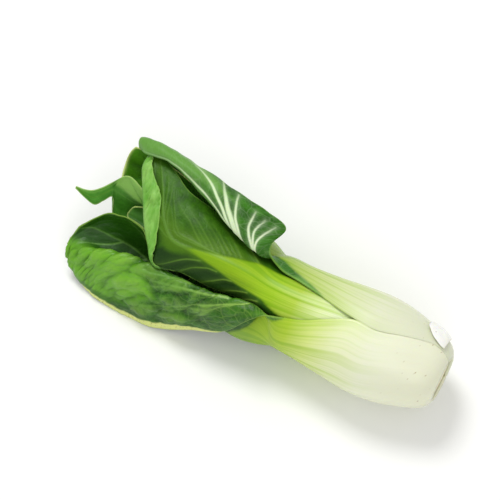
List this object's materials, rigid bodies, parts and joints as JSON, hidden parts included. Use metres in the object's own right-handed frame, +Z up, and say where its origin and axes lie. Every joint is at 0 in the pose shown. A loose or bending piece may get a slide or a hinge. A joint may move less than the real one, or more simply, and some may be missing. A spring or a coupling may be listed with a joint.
{
  "type": "bok choy head",
  "caption": "Whole head of bok choy lying on its side: pale bulging stalks overlap round a short cut stem and open into dark green curled leaf blades.",
  "frame": {"origin": "on the table under the middle of the head", "axes": "+X along the head to the cut stem, leaf tips at -X, +Z up"},
  "size_m": [0.2546, 0.0898, 0.072],
  "materials": {
    "leaf_outer_far": "fresh leaf: white waxy stalk turning to a green blade with raised white ribs",
    "leaf_outer_near": "fresh leaf: white waxy stalk turning to a crinkled mid green blade",
    "leaf_outer_under": "fresh leaf: white waxy stalk turning to a green blade",
    "leaf_second_top": "fresh leaf: lime green rib and dark olive blade, satin",
    "leaf_second_far": "fresh leaf: pale stalk and dark green blade, satin",
    "leaf_second_near": "fresh leaf: pale stalk and dark green blade, satin",
    "leaf_inner_pointed": "fresh leaf: pale stalk and mid green blade, satin",
    "leaf_inner_round": "fresh leaf: pale stalk and dark green blade, satin",
    "leaf_heart": "young leaf: pale yellow green, satin",
    "leaf_stub": "white waxy stub of a leaf that was pulled off",
    "stem": "cut plant stem, dry and cream coloured"
  },
  "bodies": {
    "root": {"leaf_outer_far": "leaf_outer_far", "leaf_outer_near": "leaf_outer_near", "leaf_outer_under": "leaf_outer_under", "leaf_second_top": "leaf_second_top", "leaf_second_far": "leaf_second_far", "leaf_second_near": "leaf_second_near", "leaf_inner_pointed": "leaf_inner_pointed", "leaf_inner_round": "leaf_inner_round", "leaf_heart_a": "leaf_heart", "leaf_heart_b": "leaf_heart", "leaf_stub": "leaf_stub", "stem_plate": "stem"}
  },
  "joints": []
}
